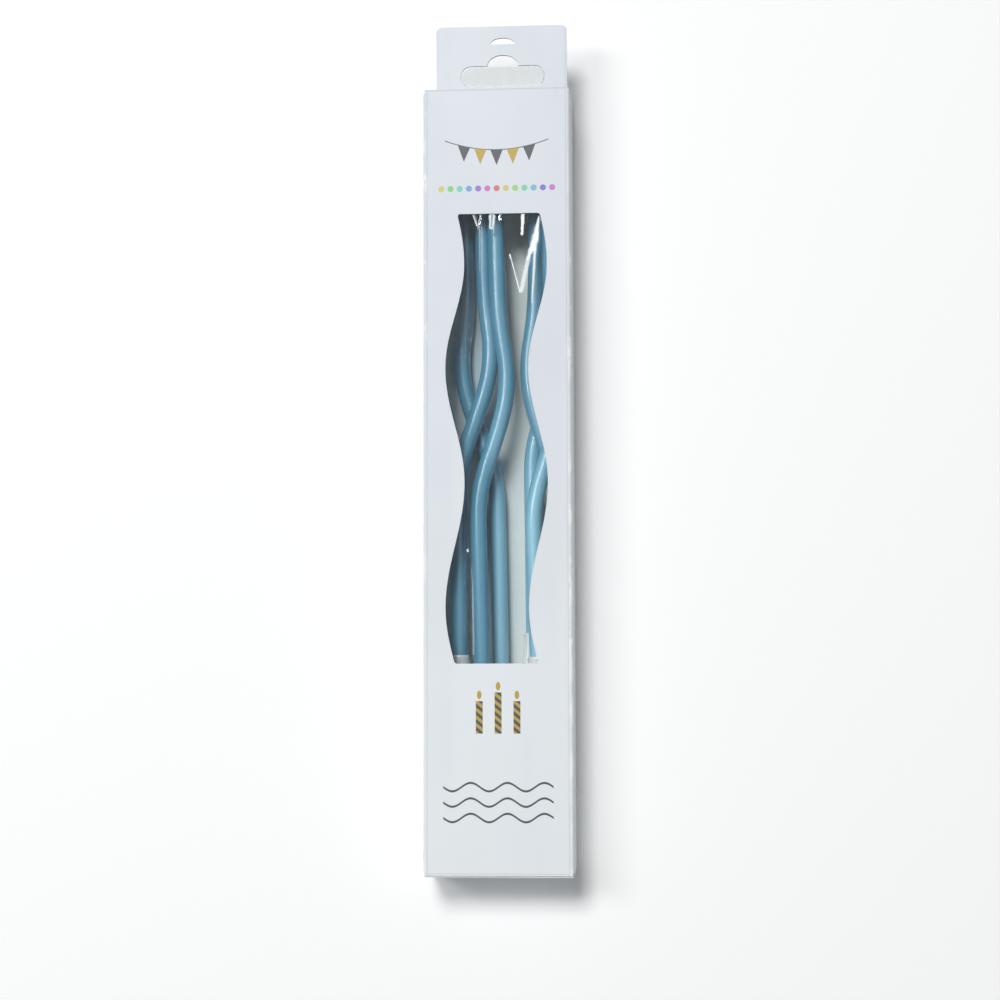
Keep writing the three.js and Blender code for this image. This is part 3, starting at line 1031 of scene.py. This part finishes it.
def wax_stick(number):
    """The bent stick, from its seat in the holder to the cone at its top."""
    side, drop = CANDLES[number][5:]
    shoulder = WAX_LENGTH - TIP
    rows = [(-SEAT + (shoulder + SEAT) * i / ROWS, 1.0) for i in range(ROWS + 1)]
    for i in range(1, TIP_ROWS + 1):
        rows.append((shoulder + TIP * (i / TIP_ROWS), 1 - TIP_TAPER * (i / TIP_ROWS) ** 2.2))
    points = [(swing_at(height, side, drop), height, 0) for height, _ in rows]
    rod = strand(f"candle_{number}_stick", points, [share for _, share in rows], WAX_RADIUS, 7)
    smooth(rod, 50)
    return rod


def wick(number):
    """Three cotton strands twisted round each other, opening slightly at the cut end."""
    side, drop = CANDLES[number][5:]
    middle = swing_at(WAX_LENGTH, side, drop)
    parts = []
    for k in range(STRANDS):
        points = []
        for i in range(STRAND_ROWS + 1):
            rise = i / STRAND_ROWS
            angle = math.tau * (k / STRANDS + TWISTS * rise)
            away = 0.23 + 0.06 * max(0, rise - 0.85) / 0.15
            height = WAX_LENGTH - 0.5 + 7.5 * rise
            points.append((middle + away * math.cos(angle), height, away * math.sin(angle)))
        parts.append(strand(f"strand_{k}", points, [1] * len(points), STRAND_RADIUS, 2))
    only(*parts)
    bpy.ops.object.join()
    rod = named(f"candle_{number}_cotton")
    smooth(rod, 60)
    return rod


sticks = {number: wax_stick(number) for number in CANDLES}
wicks = {number: wick(number) for number in CANDLES}
print("sticks:", {n: len(o.data.polygons) for n, o in sticks.items()})

# %% [markdown]
# ## Holders
# A holder is one small moulding in clear plastic: a spike, a flared cup and a bore for the wax. It
# is round, so its outline is drawn once by extruding a corner from point to point, and spun round
# its axis. Each candle then gets a copy with its own mesh.


# %% Holder
RIBS = 22
# Radius and height under the rim: the spike's point and shank, the cup's outside, then its bore
OUTLINE = [
    *((0, -36), (0.25, -36), (0.62, -34.3), (1.15, -31), (1.2, -30), (1.2, -13.4), (1.55, -12.7)),
    *((1.55, -12), (3.0, -12), (3.62, -11.5), (3.8, -10.4), (3.55, -8.6), (3.26, -6), (3.06, -3)),
    *((2.95, -1.1), (3.02, -0.6), (2.92, -0.1), (2.7, 0), (2.5, -0.2), (2.45, -0.5)),
    *((2.45, -8.3), (0, -8.3)),
]


def between_ribs(co):
    """True for the corners in the hollows between the ribs on the cup's outside."""
    step = math.atan2(co.z, co.x) / math.tau * 2 * RIBS
    outside = math.hypot(co.x, co.z) > 2.8 * MM and -11.6 * MM < co.y < -0.8 * MM
    return outside and round(step) % 2 == 1


def holder():
    """The spike and cup, spun from the outline, with fine ribs on the cup."""
    deselect()
    bpy.ops.mesh.primitive_plane_add(size=1 * MM)
    obj = named("holder_moulding")
    only(obj)
    bpy.ops.object.mode_set(mode="EDIT")
    bpy.ops.mesh.select_all(action="SELECT")
    bpy.ops.mesh.merge(type="CENTER")
    bpy.ops.transform.translate(value=(0, OUTLINE[0][1] * MM, 0))
    for (r0, y0), (r1, y1) in zip(OUTLINE, OUTLINE[1:]):
        step = ((r1 - r0) * MM, (y1 - y0) * MM, 0)
        bpy.ops.mesh.extrude_region_move(TRANSFORM_OT_translate={"value": step})
    bpy.ops.mesh.select_all(action="SELECT")
    bpy.ops.mesh.spin(steps=2 * RIBS, angle=math.tau, center=(0, 0, 0), axis=(0, 1, 0))
    bpy.ops.mesh.select_all(action="SELECT")
    bpy.ops.mesh.remove_doubles(threshold=2e-6)
    bpy.ops.mesh.normals_make_consistent(inside=False)
    done()
    pick(obj, "VERT", between_ribs)
    bpy.ops.transform.resize(value=(0.955, 1, 0.955), center_override=(0, 0, 0))
    done()
    smooth(obj, 25)
    return obj


moulding = holder()
holders = {}
for number in CANDLES:
    side, drop = CANDLES[number][5:]
    copy = moulding.copy()
    copy.data = moulding.data.copy()
    copy.name = copy.data.name = f"candle_{number}_cup"
    scene.collection.objects.link(copy)
    copy.data.transform(Matrix.Translation((swing_at(0, side, drop) * MM, 0, 0)))
    holders[number] = copy
bpy.data.objects.remove(moulding)
print("holders:", len(holders), "of", len(holders["1"].data.polygons), "faces")

# %% [markdown]
# ## Wax, plastic and cotton
# Coloured wax lets light in a little way and has a satin skin with tiny pits, faint flow streaks
# and a dusting of bloom. Low in the carton and right of the middle it is painted paler, as painted
# light. The holder's plastic is milky and half clear. The cotton is off-white.

# %% Candle finishes
WAX_DEEP, WAX_LIGHT = (0.058, 0.25, 0.375, 1), (0.09, 0.31, 0.445, 1)
WAX_PAINTED_LIGHT, WAX_BLOOM = (0.29, 0.60, 0.75, 1), (0.46, 0.62, 0.70, 1)

blue_wax, shader, where = finish_of(
    "blue_wax",
    Subsurface_Weight=0.12,
    Subsurface_Scale=0.003,
    Subsurface_Radius=(0.35, 0.8, 1.0),
    Coat_Weight=0.7,
    Coat_Roughness=0.16,
    Specular_IOR_Level=0.35,
)
uneven = use(mottle, Place=where)
streak = noise(where, 420, 3, 0.6, (1, 0.05, 1))
bloom = ease(noise(where, 620, 4, 0.7), 0.56, 0.74)
cloud = ease(noise(where, 70, 2), 0.4, 0.7)
dusty = mul(bloom, cloud, 0.3)
tone = add(mul(uneven["Drift"], 0.6), mul(streak, 0.4))
x, y, _ = axes(where)
# Painted light: the wax turns paler low in the carton and right of the middle, where the candles
# should look more brightly lit.
painted_light = mul(ease(x, -0.0035, -0.0005), ease(y, 0.03, -0.03), 0.85)
body = blend(painted_light, blend(tone, WAX_DEEP, WAX_LIGHT), WAX_PAINTED_LIGHT)
rough = add(ease(streak, 0.3, 0.7, 0.3, 0.42), dusty)
feed(shader, Base_Color=blend(dusty, body, WAX_BLOOM), Roughness=rough)
pits = add(mul(streak, 0.7), mul(uneven["Grain"], 0.3))
relief(pits, 0.0001, shader, 0.12)

clear_plastic, shader, where = finish_of("clear_plastic", IOR=1.49)
drift = use(mottle, Place=where)["Drift"]
scuff = use(scuffs, Place=where, Amount=0.6)["Scuff"]
tint = blend(drift, (0.90, 0.94, 0.96, 1), (0.96, 0.98, 0.99, 1))
milk = add(ease(drift, 0.3, 0.7, 0.68, 0.8), mul(scuff, 0.3))
feed(shader, Base_Color=tint, Alpha=milk, Roughness=add(scuff, 0.2))
relief(drift, 0.0002, shader, 0.3)

cotton, shader, where = finish_of("cotton", Roughness=0.9)
lint = noise(where, 2400, 4, 0.7)
feed(shader, Base_Color=blend(lint, (0.86, 0.83, 0.76, 1), (0.70, 0.67, 0.60, 1)))
relief(lint, 0.00008, shader, 0.7)

PARTS = (("wax", sticks, blue_wax), ("wick", wicks, cotton), ("holder", holders, clear_plastic))
for part, made, material in PARTS:
    for number, obj in made.items():
        dress(obj, [material])
        seat(obj, number)
        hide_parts(f"candle_{number}_{part}")
        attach(obj, f"candle_{number}")
print("dressed", sum(len(made) for _, made, _ in PARTS), "candle pieces")

# %% [markdown]
# ## Window film
# The film is thin and clear and was glued on by hand, so it isn't quite flat: short creases and two
# pleats run down from the top edge, and two patches are finely crumpled. A fine grid is pushed
# down along them, between the front panel and the topmost candle. The glints of the lamps on the
# creases and crumples are painted as white film, so each corner keeps how much painted highlight it
# has in an attribute that the finish reads. Painted highlights with a sharp outline are too fine
# for the grid, so they are drawn in the finish.

# %% Film: its folds
# A fine crease is a narrow furrow: from and to (across, height over the base), width, depth, and
# how white its painted highlight is
CREASES = [
    ((-6.9, 186, -5.4, 180.6), 0.30, 0.06, 0.12),
    ((-4.4, 185, -5.0, 181.5), 0.28, 0.06, 0.10),
    ((3.7, 172.5, 6.4, 161.7), 0.24, 0.05, 0.0),
    ((10.6, 170.6, 9.5, 157.2), 0.28, 0.05, 0.10),
    ((-8.35, 89.7, -8.25, 89.3), 0.24, 0.03, 0.3),
]
# A pleat is a long dent that deepens towards its upper end, with one side steep and one flat:
# middle across, height and width of its upper and then its lower end, and depth at the top
PLEATS = [
    (0.7, 185, 0.8, 0.8, 182.2, 0.6, 0.28),
    (11.9, 183, 0.5, 9.6, 173.0, 1.3, 0.75),
]
# A crumpled patch: middle across, height over the base, half width, half height, depth
CRUMPLES = [(-8.4, 146, 2.2, 4.5, 0.07), (-8.2, 74, 1.3, 12, 0.08)]
SLOW_SAG, DEEPEST = 0.16, 1.0


def clamped(value):
    """Keeps a value between 0 and 1."""
    return min(max(value, 0), 1)


def gap_to_line(x, height, x0, h0, x1, h1):
    """Distance to a short line, and the share of the way along it."""
    run = Vector((x1 - x0, h1 - h0))
    share = clamped(Vector((x - x0, height - h0)) @ run / run.length_squared)
    return math.hypot(x - x0 - share * run.x, height - h0 - share * run.y), share


def near_patch(x, height, cx, ch, wide, high):
    """1 in the middle of a crumpled patch, fading to 0 outside it."""
    return math.exp(-(((x - cx) / wide) ** 2) - ((height - ch) / high) ** 2)


def crease_at(x, height):
    """How white the painted highlight on the film is at a place, along creases and in crumpled
    patches.
    """
    found = 0
    for line, width, _, glint_white in CREASES:
        away, share = gap_to_line(x, height, *line)
        found = max(found, glint_white * math.exp(-((away / width) ** 2)) * min(1, 3 * (1 - share)))
    rough = max(field.noise(Vector((x * 4.1, height * 2.7, 7))) - 0.25, 0)
    for *patch, _ in CRUMPLES:
        found = max(found, 0.5 * near_patch(x, height, *patch) * rough)
    return found


def pleat_depth(x, height):
    """How far the pleats push the film down at a place."""
    deepest = 0
    for x0, h0, wide0, x1, h1, wide1, depth in PLEATS:
        share = (height - h1) / (h0 - h1)
        if not 0 < share < 1.1:
            continue
        wide = wide1 + (wide0 - wide1) * share
        across = x - (x1 + (x0 - x1) * share) + wide / 2
        edges = clamped((across + 0.2) / 0.2) * clamped((wide + 0.2 - across) / 0.2)
        deepest = max(deepest, edges * max(depth * share - 0.05 * across, 0))
    return deepest


def pleat_at(x, height):
    """1 in a pleat, 0 outside it."""
    return min(pleat_depth(x, height) / 0.08, 1)


def film_depth(x, height):
    """How far the film lies under its flat place."""
    depth = pleat_depth(x, height)
    for line, width, amount, _ in CREASES:
        away, _ = gap_to_line(x, height, *line)
        depth += amount * math.exp(-((away / width) ** 2))
    for *patch, amount in CRUMPLES:
        near = near_patch(x, height, *patch)
        if near > 0.02:
            depth += 0.7 * amount * near * (field.noise(Vector((x * 2.2, height * 1.6, 4))) + 0.5)
    slow = field.noise(Vector((x * 0.07, height * 0.04, 2)))
    return depth + SLOW_SAG * (slow + 0.5)


print("folds in the film:", len(CREASES) + len(PLEATS) + len(CRUMPLES))

# %% Film
FILM_GAP, FILM_THICKNESS = 0.06, 0.04
low, high = (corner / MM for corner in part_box("window_film"))
spot = ((low.x + high.x) / 2, (low.y + high.y) / 2, high.z - FILM_GAP)
sizes, rows = (high.x - low.x, high.y - low.y, 1), {"x_subdivisions": 180, "y_subdivisions": 230}
film = primitive("window_film_sheet", grid, sizes, spot, size=1, **rows)
spots = [(v.co.x / MM, v.co.y / MM - BOTTOM) for v in film.data.vertices]
for corner, (x, height) in zip(film.data.vertices, spots):
    share = clamped((height - WINDOW_BASE) / WINDOW_HEIGHT)
    inward = WINDOW_WIDTH / 2 - abs(x - wave_at(share))
    from_end = min(height - WINDOW_BASE, WINDOW_BASE + WINDOW_HEIGHT - height)
    free = clamped(min(inward, from_end + 1.2) / 2.2 + 0.35)
    corner.co.z -= min(film_depth(x, height), DEEPEST) * free * MM
thicken(film, FILM_THICKNESS)
smooth(film, 180)
for label, found_at in (("crease_glint", crease_at), ("pleat", pleat_at)):
    kept = film.data.attributes.new(label, "FLOAT", "POINT")
    for corner, value in zip(film.data.vertices, kept.data):
        value.value = found_at(corner.co.x / MM, corner.co.y / MM - BOTTOM)
print("film:", len(film.data.polygons), "faces")

# %% Painted highlights on the film
# Each mark is a painted highlight: a glint of the lamps on the film, drawn as white film. A mark
# runs from one point to the next, each with its place across, its height over the base and the
# mark's half width there. An outline has the share of it that stays clear inside, and 0 is a
# filled mark. The last number is how white it is.
GLINT_MARKS = [
    ((-1.3, 183.6, 0.8), (-1.55, 180.4, 0.5), 0.55, 0.95),
    ((7.35, 184.2, 0.45), (7.05, 178.4, 0.32), 0, 1.0),
    ((11.75, 183.4, 0.14), (10.6, 176.6, 0.95), 0, 1.0),
    ((10.6, 176.6, 0.95), (8.6, 171.2, 0.32), 0, 0.9),
    ((8.9, 171.9, 0.55), (6.8, 162.4, 0.6), 0, 0.5),
    ((10.8, 176.0, 0.4), (9.7, 159.0, 0.14), 0, 0.6),
    ((3.6, 172.5, 0.24), (4.1, 170.8, 0.1), 0, 0.9),
    ((4.1, 170.8, 0.13), (6.35, 162.2, 0.18), 0, 0.75),
    ((-6.9, 184.5, 0.1), (-5.6, 181.0, 0.2), 0, 0.6),
    ((-4.6, 184.2, 0.14), (-5.2, 181.2, 0.12), 0, 0.55),
    ((-4.9, 180.6, 0.14), (-4.8, 168.0, 0.08), 0, 0.2),
    ((0.9, 184.3, 0.3), (0.8, 183.4, 0.12), 0.4, 0.7),
    ((-8.4, 89.8, 0.24), (-8.35, 89.5, 0.24), 0, 0.8),
    ((-7.5, 85.5, 0.12), (-7.0, 80.0, 0.2), 0, 0.08),
    ((-7.0, 80.0, 0.2), (-6.8, 61.0, 0.22), 0, 0.15),
]
glint_marks, given, result = effect("film_glint_marks", "White")


def vector_step(operation, *values, **named_values):
    """One Vector Math node."""
    node = new("VectorMath")
    node.operation = operation
    for value, socket in zip(values, node.inputs):
        connect(value, socket)
    feed(node, **named_values)
    return node.outputs


flat = vector_step("MULTIPLY", given["Place"], (1, 1, 0))["Vector"]
wobble = add(noise(flat, 700, 2, 0.6), 0.5)
glint_white = 0.0
for (x0, h0, half0), (x1, h1, half1), clear, amount in GLINT_MARKS:
    run = Vector(((x1 - x0) * MM, (h1 - h0) * MM, 0))
    from_start = vector_step("SUBTRACT", flat, (x0 * MM, (BOTTOM + h0) * MM, 0))["Vector"]
    share = vector_step("DOT_PRODUCT", from_start, run / run.length_squared)["Value"]
    share = calc("MULTIPLY", share, 1, clamp=True)
    nearest = vector_step("SCALE", run, Scale=share)["Vector"]
    gap = vector_step("DISTANCE", from_start, nearest)["Value"]
    half = add(mul(share, (half1 - half0) * MM), half0 * MM)
    ratio = calc("DIVIDE", gap, mul(half, wobble))
    mark = mul(ease(ratio, 1.4, 0.5), amount)
    if clear:
        mark = mul(mark, ease(ratio, clear - 0.2, clear + 0.1, 0.2, 1.0))
    glint_white = most(glint_white, mark)
feed(result, White=glint_white)
print("film marks:", len(GLINT_MARKS), "in", len(glint_marks.nodes), "nodes")

# %% Film finish
clear_film, shader, where = finish_of("clear_film", Base_Color=(0.97, 0.985, 1, 1))
haze = noise(where, 45, 3)
speck = ease(noise(where, 1500, 3, 0.6), 0.66, 0.8)
edge_on = new("Fresnel", IOR=1.5)
creased, pleated = (new("Attribute") for _ in range(2))
creased.attribute_name, pleated.attribute_name = "crease_glint", "pleat"
# Painted highlights: where the attribute or the marks say, the film turns white and matt, standing
# in for the lamps' glints.
painted_glint = most(creased.outputs["Fac"], use(glint_marks, Place=where)["White"])
body = add(mul(haze, 0.008), mul(speck, 0.025))
body = add(body, mul(pleated.outputs["Fac"], 0.03), painted_glint)
shine = mul(edge_on.outputs[0], 0.3)
matt = calc("MULTIPLY", painted_glint, 5, clamp=True)
rough = add(ease(haze, 0.3, 0.7, 0.06, 0.14), mul(painted_glint, 0.4))
opacity = calc("ADD", shine, body, clamp=True)
feed(shader, Alpha=opacity, Metallic=sub(1, matt), Roughness=rough)
relief(noise(where, 120, 2, 0.5), 0.0001, shader, 0.12)
dress(film, [clear_film])
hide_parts("window_film")
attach(film, "carton")
print("film finish:", clear_film.name)

# %% Floor
deselect()
bpy.ops.mesh.primitive_plane_add(size=6, location=(0, 0, -0.0002))
floor = place(named("floor"))
pale, shader, where = finish_of(
    "pale_floor", Roughness=0.9, Base_Color=(0.96, 0.96, 0.96, 1), Emission_Color=(1, 1, 1, 1)
)
feed(shader, Emission_Strength=mul(seen_ray(), 0.09))
dress(floor, [pale])
floor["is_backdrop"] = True
print("floor laid")

# %% Sizes and the end
low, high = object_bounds()
print("visual size", [round(s / MM, 2) for s in (high - low)], "mm")
